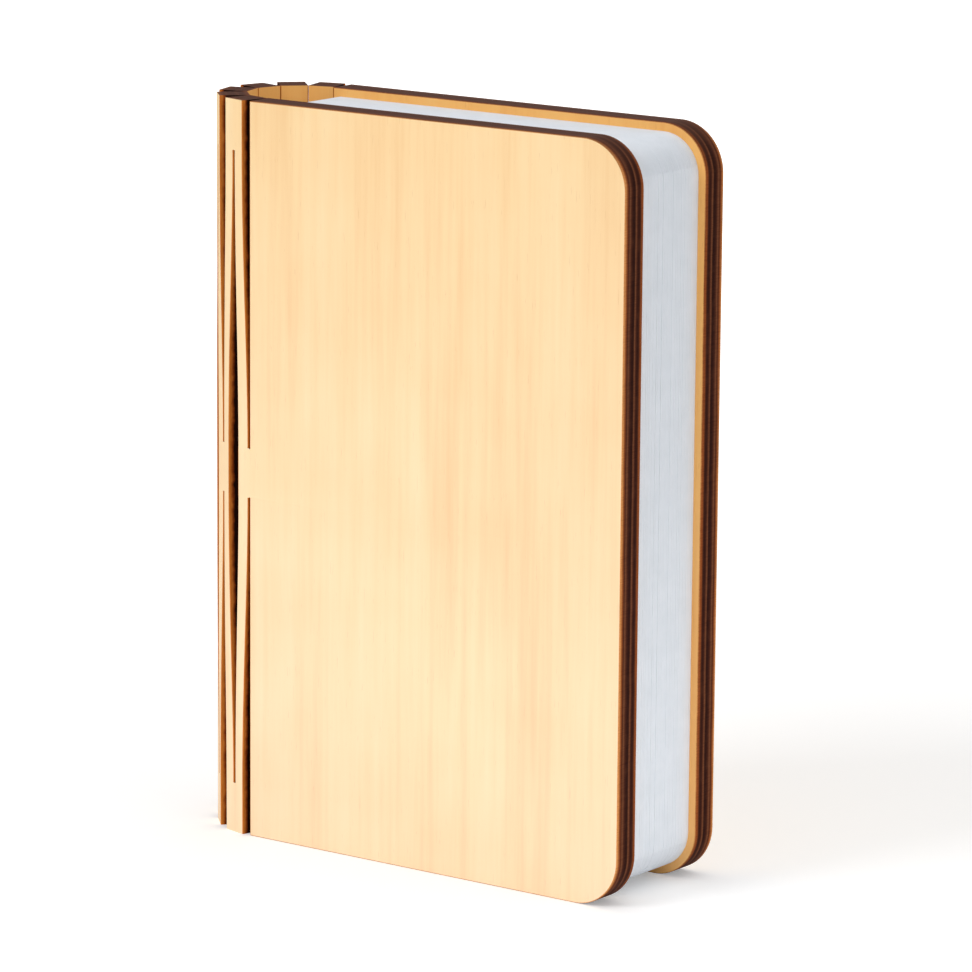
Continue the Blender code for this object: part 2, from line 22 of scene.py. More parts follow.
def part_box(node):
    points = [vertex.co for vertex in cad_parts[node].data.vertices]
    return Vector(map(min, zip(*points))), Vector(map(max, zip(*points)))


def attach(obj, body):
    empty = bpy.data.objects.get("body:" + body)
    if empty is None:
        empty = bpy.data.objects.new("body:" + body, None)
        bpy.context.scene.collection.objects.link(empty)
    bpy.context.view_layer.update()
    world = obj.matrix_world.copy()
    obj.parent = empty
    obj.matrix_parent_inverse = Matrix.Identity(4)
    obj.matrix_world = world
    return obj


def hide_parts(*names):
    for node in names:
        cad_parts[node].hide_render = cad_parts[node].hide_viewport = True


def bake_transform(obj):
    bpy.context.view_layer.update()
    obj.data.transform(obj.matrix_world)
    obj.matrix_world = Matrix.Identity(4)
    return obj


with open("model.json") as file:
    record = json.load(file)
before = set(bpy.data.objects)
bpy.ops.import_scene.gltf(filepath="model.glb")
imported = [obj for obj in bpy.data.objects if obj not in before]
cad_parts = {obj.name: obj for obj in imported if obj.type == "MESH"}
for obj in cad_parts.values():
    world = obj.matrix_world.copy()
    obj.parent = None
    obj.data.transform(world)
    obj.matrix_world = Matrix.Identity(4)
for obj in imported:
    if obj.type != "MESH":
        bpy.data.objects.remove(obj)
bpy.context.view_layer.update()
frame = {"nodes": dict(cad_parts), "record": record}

Socket = bpy.types.NodeSocket
Piece = bpy.types.Object
Colour = tuple[float, float, float, float]
Triple = tuple[float, float, float]

LOG = logging.getLogger("book_lamp")
MM = 0.001
SHEET_ATTRIBUTE = "sheet"


def linear(red: int, green: int, blue: int) -> Colour:
    """Turn a display colour into the linear colour that a shader takes.

    Args:
        red: Red, 0 to 255.
        green: Green, 0 to 255.
        blue: Blue, 0 to 255.

    Returns:
        The linear colour with full alpha.
    """
    shares = []
    for channel in (red, green, blue):
        value = channel / 255.0
        low = value / 12.92
        high = ((value + 0.055) / 1.055) ** 2.4
        shares.append(low if value <= 0.04045 else high)
    return (shares[0], shares[1], shares[2], 1.0)


def blend_weight(value: float, start: float, end: float) -> float:
    """Return the smooth ramp from 0 at start to 1 at end, the one that a blended piece follows."""
    share = min(max((value - start) / (end - start), 0.0), 1.0)
    return share * share * (3.0 - 2.0 * share)


def is_fore_corner(edge: bmesh.types.BMEdge, depth: float) -> bool:
    """Tell an edge that crosses a sheet of some depth at a corner of the fore-edge."""
    first, second = (vert.co for vert in edge.verts)
    return first.x > 0 and second.x > 0 and abs(first.y - second.y) > depth / 2


class Pick(Enum):
    """What a selection picks in edit mode."""

    VERTS = "VERT"
    EDGES = "EDGE"
    FACES = "FACE"


class Bench:
    """Modelling steps on one mesh at a time, as by hand in edit mode."""

    @staticmethod
    def box(name: str, low: Vector, high: Vector) -> Piece:
        """Add a cube primitive at its real size and place.

        Args:
            name: The piece's name.
            low: Its lowest corner.
            high: Its highest corner.

        Returns:
            The new object, its place in its mesh.
        """
        bpy.ops.object.select_all(action="DESELECT")
        bpy.ops.mesh.primitive_cube_add(size=1.0, location=(low + high) / 2, scale=high - low)
        made = bpy.context.object
        made.name = name
        made.data.name = name
        bpy.ops.object.transform_apply(location=True, rotation=True, scale=True)
        return made

    @staticmethod
    def select(piece: Piece) -> None:
        """Select one piece alone and make it active."""
        bpy.ops.object.select_all(action="DESELECT")
        piece.select_set(True)
        bpy.context.view_layer.objects.active = piece

    @staticmethod
    def edit(piece: Piece) -> None:
        """Open a piece in edit mode."""
        Bench.select(piece)
        bpy.ops.object.mode_set(mode="EDIT")

    @staticmethod
    def done() -> None:
        """Go back to object mode."""
        bpy.ops.object.mode_set(mode="OBJECT")

    @staticmethod
    def pick(piece: Piece, kind: Pick, test: Callable[[object], bool]) -> None:
        """Select only what passes a test.

        Args:
            piece: The object in edit mode.
            kind: Whether vertices, edges or faces are picked.
            test: Called with each element.
        """
        bpy.ops.mesh.select_all(action="DESELECT")
        bpy.ops.mesh.select_mode(type=kind.value)
        shape = bmesh.from_edit_mesh(piece.data)
        group = {Pick.VERTS: shape.verts, Pick.EDGES: shape.edges, Pick.FACES: shape.faces}[kind]
        for item in group:
            item.select_set(bool(test(item)))
        bmesh.update_edit_mesh(piece.data)

    @staticmethod
    def cut(place: Vector, normal: Vector) -> None:
        """Bisect the whole mesh in edit mode.

        Args:
            place: A point on the cutting plane.
            normal: The plane's normal.
        """
        bpy.ops.mesh.select_all(action="SELECT")
        bpy.ops.mesh.bisect(plane_co=place, plane_no=normal)

    @staticmethod
    def bevel(width: float, steps: int) -> None:
        """Bevel the selected edges.

        Args:
            width: The bevel's width.
            steps: Its segments.
        """
        bpy.ops.mesh.bevel(offset=width, segments=steps, affect="EDGES", profile=0.5)

    @staticmethod
    def copy(piece: Piece, name: str) -> Piece:
        """Duplicate a piece with a mesh of its own.

        Args:
            piece: The object to copy.
            name: The copy's name.

        Returns:
            The copy.
        """
        Bench.select(piece)
        bpy.ops.object.duplicate(linked=False)
        made = bpy.context.object
        made.name = name
        made.data.name = name
        return made

    @staticmethod
    def smooth(piece: Piece, angle: float) -> None:
        """Shade a piece smooth, with edges sharper than an angle kept."""
        Bench.select(piece)
        bpy.ops.object.shade_smooth_by_angle(angle=angle)

    @staticmethod
    def coat(piece: Piece, *finishes: bpy.types.Material) -> None:
        """Give a piece these materials and no others."""
        piece.data.materials.clear()
        for finish in finishes:
            piece.data.materials.append(finish)

    @staticmethod
    def carve(piece: Piece, tool: Piece) -> None:
        """Cut a tool out of a piece with an exact Boolean and delete the tool."""
        Bench.select(piece)
        step = piece.modifiers.new("carve", "BOOLEAN")
        step.operation = "DIFFERENCE"
        step.solver = "EXACT"
        step.object = tool
        bpy.ops.object.modifier_apply(modifier=step.name)
        bpy.data.objects.remove(tool, do_unlink=True)


class Graph:
    """One material's node tree, built step by step."""

    def __init__(self, name: str) -> None:
        """Start a material with its Principled shader."""
        self.material = bpy.data.materials.new(name)
        self.material.use_nodes = True
        self.nodes = self.material.node_tree.nodes
        self.links = self.material.node_tree.links
        self.shader = self.nodes["Principled BSDF"]

    def add(self, kind: str, **settings: object) -> bpy.types.Node:
        """Add a node.

        Args:
            kind: The node's type name without its ShaderNode prefix.
            **settings: Its properties.

        Returns:
            The node.
        """
        node = self.nodes.new("ShaderNode" + kind)
        for key, value in settings.items():
            setattr(node, key, value)
        return node

    def join(self, source: Socket, target: Socket) -> None:
        """Link one socket to another."""
        self.links.new(source, target)

    def scaled(
        self, source: Socket, scale: Triple
    ) -> Socket:
        """Stretch a coordinate.

        Args:
            source: The coordinate's socket.
            scale: The factors along X, Y and Z.

        Returns:
            The stretched coordinate.
        """
        node = self.add("Mapping")
        node.inputs["Scale"].default_value = scale
        self.join(source, node.inputs["Vector"])
        return node.outputs["Vector"]

    def noise(
        self, coordinate: Socket, scale: float, detail: float, rough: float = 0.55
    ) -> Socket:
        """Add fractal noise.

        Args:
            coordinate: Where it is read.
            scale: Its frequency.
            detail: Its octaves.
            rough: How strong the finer octaves are.

        Returns:
            The noise's value.
        """
        node = self.add("TexNoise")
        node.inputs["Scale"].default_value = scale
        node.inputs["Detail"].default_value = detail
        node.inputs["Roughness"].default_value = rough
        self.join(coordinate, node.inputs["Vector"])
        return node.outputs["Fac"]

    def math(
        self, operation: str, first: Socket, second: Socket | float
    ) -> Socket:
        """Combine a value with another one or with a number.

        Args:
            operation: The Math node's operation.
            first: The first value.
            second: The second value, a socket or a number.

        Returns:
            The result.
        """
        node = self.add("Math", operation=operation)
        self.join(first, node.inputs[0])
        if isinstance(second, (int, float)):
            node.inputs[1].default_value = second
        else:
            self.join(second, node.inputs[1])
        return node.outputs["Value"]

    def grain(
        self, sheet: Socket, scale: Triple, detail: float, rough: float = 0.55
    ) -> Socket:
        """Add noise that is stretched along the sheet."""
        return self.noise(self.scaled(sheet, scale), 1.0, detail, rough)

    def centred(self, value: Socket, middle: float, gain: float) -> Socket:
        """Take a middle from a value and multiply what is left."""
        return self.math("MULTIPLY", self.math("SUBTRACT", value, middle), gain)

    def sheet(self) -> tuple[Socket, bpy.types.Node]:
        """Read the sheet coordinate, whole and in its parts."""
        whole = self.add("Attribute", attribute_name=SHEET_ATTRIBUTE).outputs["Vector"]
        parts = self.add("SeparateXYZ")
        self.join(whole, parts.inputs["Vector"])
        return whole, parts

    def depth(self, board: float, scale: float, detail: float, wander: float) -> Socket:
        """Tell the depth as a share of the board, wandering a little along the sheet.

        Args:
            board: The board's thickness.
            scale: The wander's frequency.
            detail: Its octaves.
            wander: Its size, as a share of the board.

        Returns:
            The depth, 0 at the outer face and 1 at the inner one.
        """
        sheet, parts = self.sheet()
        share = self.math("DIVIDE", parts.outputs["Y"], board)
        return self.math("ADD", share, self.centred(self.noise(sheet, scale, detail), 0.5, wander))

    def ramp(
        self,
        value: Socket,
        stops: list[tuple[float, Colour]],
    ) -> Socket:
        """Turn a value into colours.

        Args:
            value: The value's socket.
            stops: The place and colour of each stop.

        Returns:
            The colour.
        """
        node = self.add("ValToRGB")
        elements = node.color_ramp.elements
        elements[0].position, elements[0].color = stops[0]
        elements[1].position, elements[1].color = stops[-1]
        for place, colour in stops[1:-1]:
            made = elements.new(place)
            made.color = colour
        self.join(value, node.inputs["Fac"])
        return node.outputs["Color"]

    def blend(
        self,
        mode: str,
        factor: Socket | float,
        first: Socket,
        second: Socket | Colour,
    ) -> Socket:
        """Mix two colours.

        Args:
            mode: The blend type.
            factor: How much of the second, a socket or a number.
            first: The first colour.
            second: The second colour, a socket or a fixed one.

        Returns:
            The mixed colour.
        """
        node = self.add("Mix", data_type="RGBA", blend_type=mode)
        if isinstance(factor, (int, float)):
            node.inputs[0].default_value = factor
        else:
            self.join(factor, node.inputs[0])
        self.join(first, node.inputs[6])
        if isinstance(second, tuple):
            node.inputs[7].default_value = second
        else:
            self.join(second, node.inputs[7])
        return node.outputs[2]

    def lying(self) -> Socket:
        """Tell how far a surface faces straight up or down, from 0 to 1."""
        parts = self.add("SeparateXYZ")
        self.join(self.add("NewGeometry").outputs["Normal"], parts.inputs["Vector"])
        return self.math("POWER", self.math("ABSOLUTE", parts.outputs["Z"], 0.0), 2.0)

    def bump(self, height: Socket, strength: float, depth: float) -> None:
        """Raise the surface by a height.

        Args:
            height: The height's socket.
            strength: How much of it shows.
            depth: The real depth that a height of one stands for.
        """
        node = self.add("Bump")
        node.inputs["Strength"].default_value = strength
        node.inputs["Distance"].default_value = depth
        self.join(height, node.inputs["Height"])
        self.join(node.outputs["Normal"], self.shader.inputs["Normal"])

    def finish(self, roughness: float, metallic: float = 0.0) -> bpy.types.Material:
        """Set the plain sockets.

        Args:
            roughness: The surface's roughness.
            metallic: 1 for metal.

        Returns:
            The material.
        """
        self.shader.inputs["Roughness"].default_value = roughness
        self.shader.inputs["Metallic"].default_value = metallic
        return self.material


@dataclass(frozen=True)
class BirchVeneer:
    """Sanded birch face of the plywood, its grain upright along the sheet."""

    board: float
    height: float
    light: Colour = linear(254, 224, 174)
    middle: Colour = linear(253, 218, 164)
    dark: Colour = linear(247, 205, 148)
    # Painted floor light: a pale cool tint added to the veneer, strongest at the bottom.
    painted_floor_light: Colour = (0.01, 0.04, 0.14, 1.0)
    # Painted shade and warm bounce light: a darker, warmer tint on the inner faces, which face into the
    # book.
    painted_inner_shade: Colour = linear(255, 225, 168)
    grain_scale: Triple = (620.0, 60.0, 22.0)
    band_scale: Triple = (95.0, 20.0, 9.0)
    pore_scale: Triple = (4200.0, 60.0, 260.0)
    pore: Colour = linear(196, 150, 100)
    pore_level: float = 0.68
    pore_share: float = 0.16
    cloud_scale: float = 45.0
    cloud_level: float = 0.42
    cloud_gain: float = 0.5
    warm: Colour = linear(246, 214, 170)
    grain_share: float = 0.45
    painted_floor_light_share: float = 0.7
    relief_share: float = 0.12
    relief: float = 0.05 * MM
    roughness: float = 0.6

    def build(self) -> bpy.types.Material:
        """Build the veneer's material from the sheet coordinate."""
        graph = Graph("birch_veneer")
        sheet, parts = graph.sheet()
        grain = graph.grain(sheet, self.grain_scale, 5.0, 0.6)
        band = graph.grain(sheet, self.band_scale, 3.0)
        cloud = graph.noise(sheet, self.cloud_scale, 2.0)
        fine = graph.math("MULTIPLY", grain, self.grain_share)
        tone = graph.math("ADD", fine, graph.math("MULTIPLY", band, 1.0 - self.grain_share))
        colour = graph.ramp(tone, [(0.35, self.light), (0.5, self.middle), (0.67, self.dark)])
        pores = graph.grain(sheet, self.pore_scale, 2.0)
        open_pores = graph.math("GREATER_THAN", pores, self.pore_level)
        pore_mask = graph.math("MULTIPLY", open_pores, self.pore_share)
        colour = graph.blend("MULTIPLY", pore_mask, colour, self.pore)
        warm = graph.centred(cloud, self.cloud_level, self.cloud_gain)
        colour = graph.blend("MULTIPLY", warm, colour, self.warm)
        # Painted floor light: the veneer turns paler and cooler towards the bottom, as if lit from the
        # floor.
        fall = graph.math("SUBTRACT", graph.math("DIVIDE", parts.outputs["Z"], self.height), 1.0)
        pale = graph.math("MULTIPLY", graph.math("ABSOLUTE", fall, 0.0), self.painted_floor_light_share)
        colour = graph.blend("ADD", pale, colour, self.painted_floor_light)
        # Painted shade: the inner faces take the darker, warmer tint of shade and bounce light inside
        # the book.
        inside = graph.math("GREATER_THAN", parts.outputs["Y"], self.board / 2)
        colour = graph.blend("MULTIPLY", inside, colour, self.painted_inner_shade)
        graph.join(colour, graph.shader.inputs["Base Color"])
        graph.bump(grain, self.relief_share, self.relief)
        return graph.finish(self.roughness)


@dataclass(frozen=True)
class CharredPly:
    """Laser-cut edge of the plywood: burnt plies between nearly black glue lines."""

    board: float
    rim: Colour = linear(226, 152, 88)
    scorch: Colour = linear(156, 82, 38)
    ply: Colour = linear(128, 76, 48)
    char: Colour = linear(76, 35, 20)
    glue: Colour = linear(50, 17, 7)
    soot: Colour = linear(84, 51, 38)
    stria_scale: Triple = (5200.0, 240.0, 5200.0)
    wander_scale: float = 150.0
    wander: float = 0.06
    fibre_scale: Triple = (70.0, 2600.0, 70.0)
    blotch_scale: float = 420.0
    smoke: Colour = linear(150, 110, 90)
    stria_level: float = 0.4
    stria_gain: float = 1.1
    haze_gain: float = 0.5
    fibre_level: float = 0.52
    fibre_gain: float = 1.6
    end_soot: float = 0.8
    relief_share: float = 0.5
    relief: float = 0.06 * MM
    specular: float = 0.1
    roughness: float = 0.85

    def build(self) -> bpy.types.Material:
        """Build the edge's material from the depth in the sheet."""
        graph = Graph("charred_ply")
        sheet = graph.sheet()[0]
        plies = graph.ramp(
            graph.depth(self.board, self.wander_scale, 3.0, self.wander),
            [
                (0.0, self.rim),
                (0.05, self.rim),
                (0.12, self.scorch),
                (0.2, self.char),
                (0.27, self.ply),
                (0.36, self.char),
                (0.45, self.glue),
                (0.54, self.glue),
                (0.6, self.ply),
                (0.67, self.char),
                (0.75, self.glue),
                (0.83, self.char),
                (0.9, self.scorch),
                (0.97, self.scorch),
                (1.0, self.rim),
            ],
        )
        stria = graph.grain(sheet, self.stria_scale, 2.0)
        blotch = graph.noise(sheet, self.blotch_scale, 3.0)
        soot = graph.centred(stria, self.stria_level, self.stria_gain)
        colour = graph.blend("MULTIPLY", soot, plies, self.smoke)
        haze = graph.centred(blotch, 0.5, self.haze_gain)
        colour = graph.blend("MIX", haze, colour, self.ply)
        sooty = graph.math("MULTIPLY", graph.lying(), self.end_soot)
        colour = graph.blend("MIX", sooty, colour, self.soot)
        fibres = graph.grain(sheet, self.fibre_scale, 3.0)
        dark = graph.centred(fibres, self.fibre_level, self.fibre_gain)
        colour = graph.blend("MIX", dark, colour, self.glue)
        graph.join(colour, graph.shader.inputs["Base Color"])
        graph.bump(stria, self.relief_share, self.relief)
        graph.shader.inputs["Specular IOR Level"].default_value = self.specular
        return graph.finish(self.roughness)


@dataclass(frozen=True)
class KerfWall:
    """Side of a slot: veneer scorched orange at the rims, charcoal and painted shade between."""

    board: float
    rim: Colour = linear(204, 120, 48)
    scorch: Colour = linear(138, 62, 17)
    # char: charred wall, darkened further as painted shade deep in the slot.
    char: Colour = linear(34, 10, 3)
    wander_scale: float = 620.0
    wander: float = 0.14
    smoke: Colour = linear(176, 128, 96)
    stria_scale: Triple = (900.0, 500.0, 150.0)
    stria_level: float = 0.42
    stria_gain: float = 1.2
    relief_share: float = 0.4
    relief: float = 0.05 * MM
    specular: float = 0.05
    roughness: float = 0.85

    def build(self) -> bpy.types.Material:
        """Build the slot wall's material from the depth in the sheet."""
        graph = Graph("kerf_wall")
        # The dark middle of this ramp is charred wall and painted shade deep in the slot.
        colour = graph.ramp(
            graph.depth(self.board, self.wander_scale, 2.0, self.wander),
            [
                (0.0, self.rim),
                (0.08, self.rim),
                (0.15, self.scorch),
                (0.21, self.char),
                (0.8, self.char),
                (0.88, self.scorch),
                (1.0, self.rim),
            ],
        )
        stria = graph.grain(graph.sheet()[0], self.stria_scale, 3.0)
        soot = graph.centred(stria, self.stria_level, self.stria_gain)
        colour = graph.blend("MULTIPLY", soot, colour, self.smoke)
        graph.join(colour, graph.shader.inputs["Base Color"])
        graph.bump(stria, self.relief_share, self.relief)
        graph.shader.inputs["Specular IOR Level"].default_value = self.specular
        return graph.finish(self.roughness)


@dataclass(frozen=True)
class SpunPaper:
    """White spun-fibre paper with its faint cloudy formation."""

    fibre_scale: float = 2600.0
    cloud_scale: float = 260.0
    relief_share: float = 0.15
    relief: float = 0.03 * MM
    roughness: float = 0.75

    def build(self) -> bpy.types.Material:
        """Build the paper's material."""
        graph = Graph("spun_paper")
        place = graph.add("TexCoord").outputs["Object"]
        cloud = graph.noise(place, self.cloud_scale, 4.0, 0.6)
        stops = [(0.3, linear(232, 238, 245)), (0.7, linear(238, 243, 250))]
        graph.join(graph.ramp(cloud, stops), graph.shader.inputs["Base Color"])
        fibres = graph.noise(place, self.fibre_scale, 3.0)
        graph.bump(fibres, self.relief_share, self.relief)
        return graph.finish(self.roughness)


@dataclass(frozen=True)
class Moulding:
    """A moulded plastic, foam or foil with a faint surface grain."""

    name: str
    colour: tuple[int, int, int]
    shade: tuple[int, int, int]
    roughness: float = 0.45
    grain_scale: float = 3000.0
    depth: float = 0.02 * MM
    metallic: float = 0.0
    transmission: float = 0.0
    relief_share: float = 0.3

    def build(self) -> bpy.types.Material:
        """Build the moulding's material."""
        graph = Graph(self.name)
        place = graph.add("TexCoord").outputs["Object"]
        grain = graph.noise(place, self.grain_scale, 3.0)
        tone = graph.ramp(grain, [(0.35, linear(*self.colour)), (0.75, linear(*self.shade))])
        graph.join(tone, graph.shader.inputs["Base Color"])
        graph.bump(grain, self.relief_share, self.depth)
        graph.shader.inputs["Transmission Weight"].default_value = self.transmission
        return graph.finish(self.roughness, self.metallic)


@dataclass(frozen=True)
class HingePlan:
    """Plan of the living hinge, read from the frame."""

    axes: list[Vector]
    board: float
    height: float
    front_y: float
    back_y: float
    fore_x: float
    beam_count: int
    solid_gap: float = 0.3 * MM
    closed_gap: float = -0.05 * MM
    kerf: float = 0.36 * MM
    tie_height: float = 8.3 * MM
    bridge_height: float = 8.2 * MM

    @classmethod
    def read(cls) -> HingePlan:
        """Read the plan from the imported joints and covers."""
        joints = {joint["name"]: joint for joint in frame["record"]["behaviour"]["joints"]}
        count = len(joints)
        axes = [Vector(joints[f"hinge_{number}"]["pos_m"]) for number in range(1, count + 1)]
        front_low, front_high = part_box("front_cover")
        back_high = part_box("back_cover")[1]
        return cls(
            axes=[Vector((axis.x, axis.y, 0.0)) for axis in axes],
            board=front_high[1] - front_low[1],
            height=front_high[2] - front_low[2],
            front_y=front_low[1],
            back_y=back_high[1],
            fore_x=front_high[0],
            beam_count=count,
        )

    @property
    def turn(self) -> float:
        """Angle that each beam takes up when the book is closed."""
        return math.pi / self.beam_count

    @property
    def pitch(self) -> float:
        """Distance from one beam's axis to the next."""
        return (self.axes[1] - self.axes[0]).length

    def width_for(self, gap: float) -> float:
        """Width of a beam that leaves a gap to its neighbour's sharp inner corner when closed.

        The corners are rounded over, so a slightly negative gap still leaves them clear.

        Args:
            gap: The gap between the two corners before they are rounded over.

        Returns:
            The beam's width.
        """
        return (self.pitch - self.board * math.sin(self.turn) - gap) / math.cos(self.turn)

    @property
    def beam(self) -> float:
        """Width of a beam."""
        return self.width_for(self.closed_gap)

    @property
    def flare(self) -> float:
        """How far a beam leans to its partner at either end, which leaves a kerf there."""
        return (self.pitch - self.beam - self.kerf) / 2

    @property
    def edge_to_axis(self) -> float:
        """Distance from a cover's edge to the first beam's axis."""
        half = self.width_for(self.solid_gap) / 2
        return half * math.cos(self.turn) + self.board / 2 * math.sin(self.turn) + self.solid_gap

    @property
    def edge_x(self) -> float:
        """X of the covers' edges beside the hinge."""
        return self.axes[0].x + self.edge_to_axis

    @property
    def middle(self) -> float:
        """Height of the middle of the bridges."""
        return self.height / 2

    @property
    def bridge_foot(self) -> float:
        """Height where the bridges begin."""
        return self.middle - self.bridge_height / 2

    def body(self, place: int) -> str:
        """Name the body at a place in the chain, from 0 at the front cover."""
        if place == 0:
            return "front_cover"
        if place == self.beam_count:
            return "back_cover"
        return f"slat_{(place + 1) // 2}" if place % 2 else f"bridge_{place // 2}"

    def heading(self, place: float) -> float:
        """Angle about Z that turns a flat piece to its place round the spine."""
        return math.pi - place * self.turn

    def centre(self, place: int) -> Vector:
        """Plan centre of a slat or bridge."""
        return (self.axes[place - 1] + self.axes[place]) / 2

    def along(self, place: int) -> float:
        """Distance along the unrolled sheet to a slat's or bridge's centre."""
        cover = self.fore_x - self.edge_x
        return cover + self.edge_to_axis + (place - 0.5) * self.pitch


class PlywoodSheet:
    """The sheet: two covers, and between them the ties, beams and bridges of the hinge."""

    ply_shares = (0.2, 0.4, 0.6, 0.8)
    groove_half = 0.09 * MM
    groove_depth = 0.05 * MM
    arris = 0.13 * MM
    corner_radius = 8.0 * MM
    arris_steps = 2
    corner_steps = 16
    beam_steps = 18
    cover_angle = math.radians(25)
    beam_angle = math.radians(20)
    rim_angle = 0.5
    facing = 0.99
    mostly = 0.6
    pocket_clearance = 0.3 * MM
    pocket_sides = 48
    magnets = {
        "front_cover": ("front_magnet_bottom", "front_magnet_top", "switch_magnet"),
        "back_cover": ("back_magnet_bottom", "back_magnet_top"),
    }

    def __init__(self, plan: HingePlan) -> None:
        """Keep the plan and build the three finishes."""
        self.plan = plan
        self.veneer = BirchVeneer(plan.board, plan.height).build()
        self.edge = CharredPly(plan.board).build()
        self.kerf = KerfWall(plan.board).build()

    def groove(self, piece: Piece, outer_y: float, inward: int) -> None:
        """Sink a fine groove at each glue line round a piece that is open in edit mode.

        Args:
            piece: A flat piece whose depth is along Y.
            outer_y: The plane of its outer face.
            inward: The Y direction into the board.
        """
        lines = [outer_y + inward * share * self.plan.board for share in self.ply_shares]
        for line in lines:
            for offset in (-self.groove_half, 0.0, self.groove_half):
                Bench.cut(Vector((0, line + offset, 0)), Vector((0, 1, 0)))
        near = self.groove_half / 4
        Bench.pick(
            piece, Pick.VERTS, lambda vert: any(abs(vert.co.y - line) < near for line in lines)
        )
        bpy.ops.transform.shrink_fatten(value=-self.groove_depth)

    def note_sheet(
        self, piece: Piece, along: float, along_sign: int, outer_y: float, inward: int
    ) -> None:
        """Store where each point lies in the unrolled sheet.

        Args:
            piece: A flat piece, before it is twisted or turned.
            along: The sheet distance at X = 0.
            along_sign: Whether the distance grows or falls with X.
            outer_y: The plane of the outer face.
            inward: The Y direction into the board.
        """
        layer = piece.data.attributes.new(SHEET_ATTRIBUTE, "FLOAT_VECTOR", "POINT")
        for vertex, item in zip(piece.data.vertices, layer.data):
            place = vertex.co
            item.vector = (along + along_sign * place.x, inward * (place.y - outer_y), place.z)

    def paint(self, piece: Piece) -> None:
        """Give the broad faces veneer, the outline its plies, the slots scorch and painted shade."""
        Bench.coat(piece, self.veneer, self.edge, self.kerf)
        slot_side = self.plan.edge_x + self.arris
        for face in piece.data.polygons:
            if abs(face.normal.y) > self.facing:
                face.material_index = 0
            elif abs(face.normal.z) < self.mostly and face.center.x < slot_side:
                face.material_index = 2
            elif abs(face.normal.x) > self.mostly and piece.name.startswith(("slat", "bridge", "beam")):
                face.material_index = 2
            else:
                face.material_index = 1

    def cover(self, name: str, body: str, outer_y: float, inward: int) -> Piece:
        """Model one cover with its rounded corners and the hinge stub at mid-height.

        Args:
            name: The piece's name.
            body: The body that it rides on.
            outer_y: The plane of its outer face.
            inward: The Y direction into the book.

        Returns:
            The cover.
        """
        plan = self.plan
        inner_y = outer_y + inward * plan.board
        low = Vector((plan.edge_x, min(outer_y, inner_y), 0.0))
        high = Vector((plan.fore_x, max(outer_y, inner_y), plan.height))
        piece = Bench.box(name, low, high)
        Bench.edit(piece)
        Bench.pick(piece, Pick.EDGES, lambda edge: is_fore_corner(edge, plan.board))
        Bench.bevel(self.corner_radius, self.corner_steps)
        for height in (plan.bridge_foot, plan.height - plan.bridge_foot):
            Bench.cut(Vector((0, 0, height)), Vector((0, 0, 1)))
        Bench.pick(piece, Pick.FACES, self.is_stub_root)
        reach = plan.edge_to_axis + plan.beam / 2
        bpy.ops.mesh.extrude_region_move(TRANSFORM_OT_translate={"value": (-reach, 0, 0)})
        Bench.pick(piece, Pick.EDGES, lambda edge: self.is_face_rim(edge, low.y, high.y))
        Bench.bevel(self.arris, self.arris_steps)
        self.groove(piece, outer_y, inward)
        Bench.done()
        for magnet in self.magnets[body]:
            self.pocket(piece, magnet, inner_y)
        hinge = 2 * plan.edge_to_axis + (plan.beam_count - 1) * plan.pitch
        along = plan.fore_x if inward > 0 else plan.fore_x - 2 * plan.edge_x + hinge
        self.note_sheet(piece, along, -inward, outer_y, inward)
        self.paint(piece)
        Bench.smooth(piece, self.cover_angle)
        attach(piece, body)
        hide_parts(name.removesuffix("_board"))
        return piece

    def pocket(self, piece: Piece, magnet: str, inner_y: float) -> None:
        """Bore a blind pocket for a magnet into a cover's inner face.

        Args:
            piece: The cover.
            magnet: The magnet's name in the frame.
            inner_y: The plane of the cover's inner face.
        """
        low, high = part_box(magnet)
        centre = (Vector(low) + Vector(high)) / 2
        radius = (high[0] - low[0]) / 2 + self.pocket_clearance
        depth = high[1] - low[1] + self.pocket_clearance
        bpy.ops.object.select_all(action="DESELECT")
        bpy.ops.mesh.primitive_cylinder_add(
            vertices=self.pocket_sides,
            radius=radius,
            depth=2 * depth,
            location=(centre.x, inner_y, centre.z),
            rotation=(math.pi / 2, 0, 0),
        )
        Bench.carve(piece, bpy.context.object)

    def is_stub_root(self, face: bmesh.types.BMFace) -> bool:
        """Tell the face on the hinge side between the two ends of the bridge."""
        aside = abs(face.calc_center_median().z - self.plan.middle)
        return face.normal.x < -self.mostly and aside < self.plan.bridge_height / 2

    def is_face_rim(self, edge: bmesh.types.BMEdge, low_y: float, high_y: float) -> bool:
        """Tell the edges between a broad face and a cut side."""
        if len(edge.link_faces) != 2:
            return False
        first, second = (vert.co for vert in edge.verts)
        near = self.arris / 10
        if max(first.x, second.x) < self.plan.edge_x + near and abs(first.z - second.z) < near:
            return False
        flat = abs(first.y - second.y) < near
        outside = min(abs(first.y - low_y), abs(first.y - high_y)) < near
        return flat and outside and edge.calc_face_angle(0.0) > self.rim_angle

    def block(self, name: str, width: float, foot: float, top: float, cuts: int) -> Piece:
        """Model one flat block of the sheet in its own frame, +Y outwards.

        Args:
            name: The piece's name.
            width: Its width along the sheet.
            foot: Its lowest height.
            top: Its highest height.
            cuts: Cuts across it, so that it can twist.

        Returns:
            The block, grooved at its glue lines.
        """
        half = self.plan.board / 2
        piece = Bench.box(name, Vector((-width / 2, -half, foot)), Vector((width / 2, half, top)))
        Bench.edit(piece)
        Bench.pick(piece, Pick.EDGES, self.is_upright)
        if cuts:
            bpy.ops.mesh.subdivide(number_cuts=cuts)
            Bench.pick(piece, Pick.EDGES, self.is_upright)
        Bench.bevel(self.arris, 1)
        self.groove(piece, half, -1)
        Bench.done()
        return piece

    def is_upright(self, edge: bmesh.types.BMEdge) -> bool:
        """Tell the edges that run up the sheet."""
        first, second = (vert.co for vert in edge.verts)
        across = math.hypot(first.x - second.x, first.y - second.y)
        return across < self.arris / 10

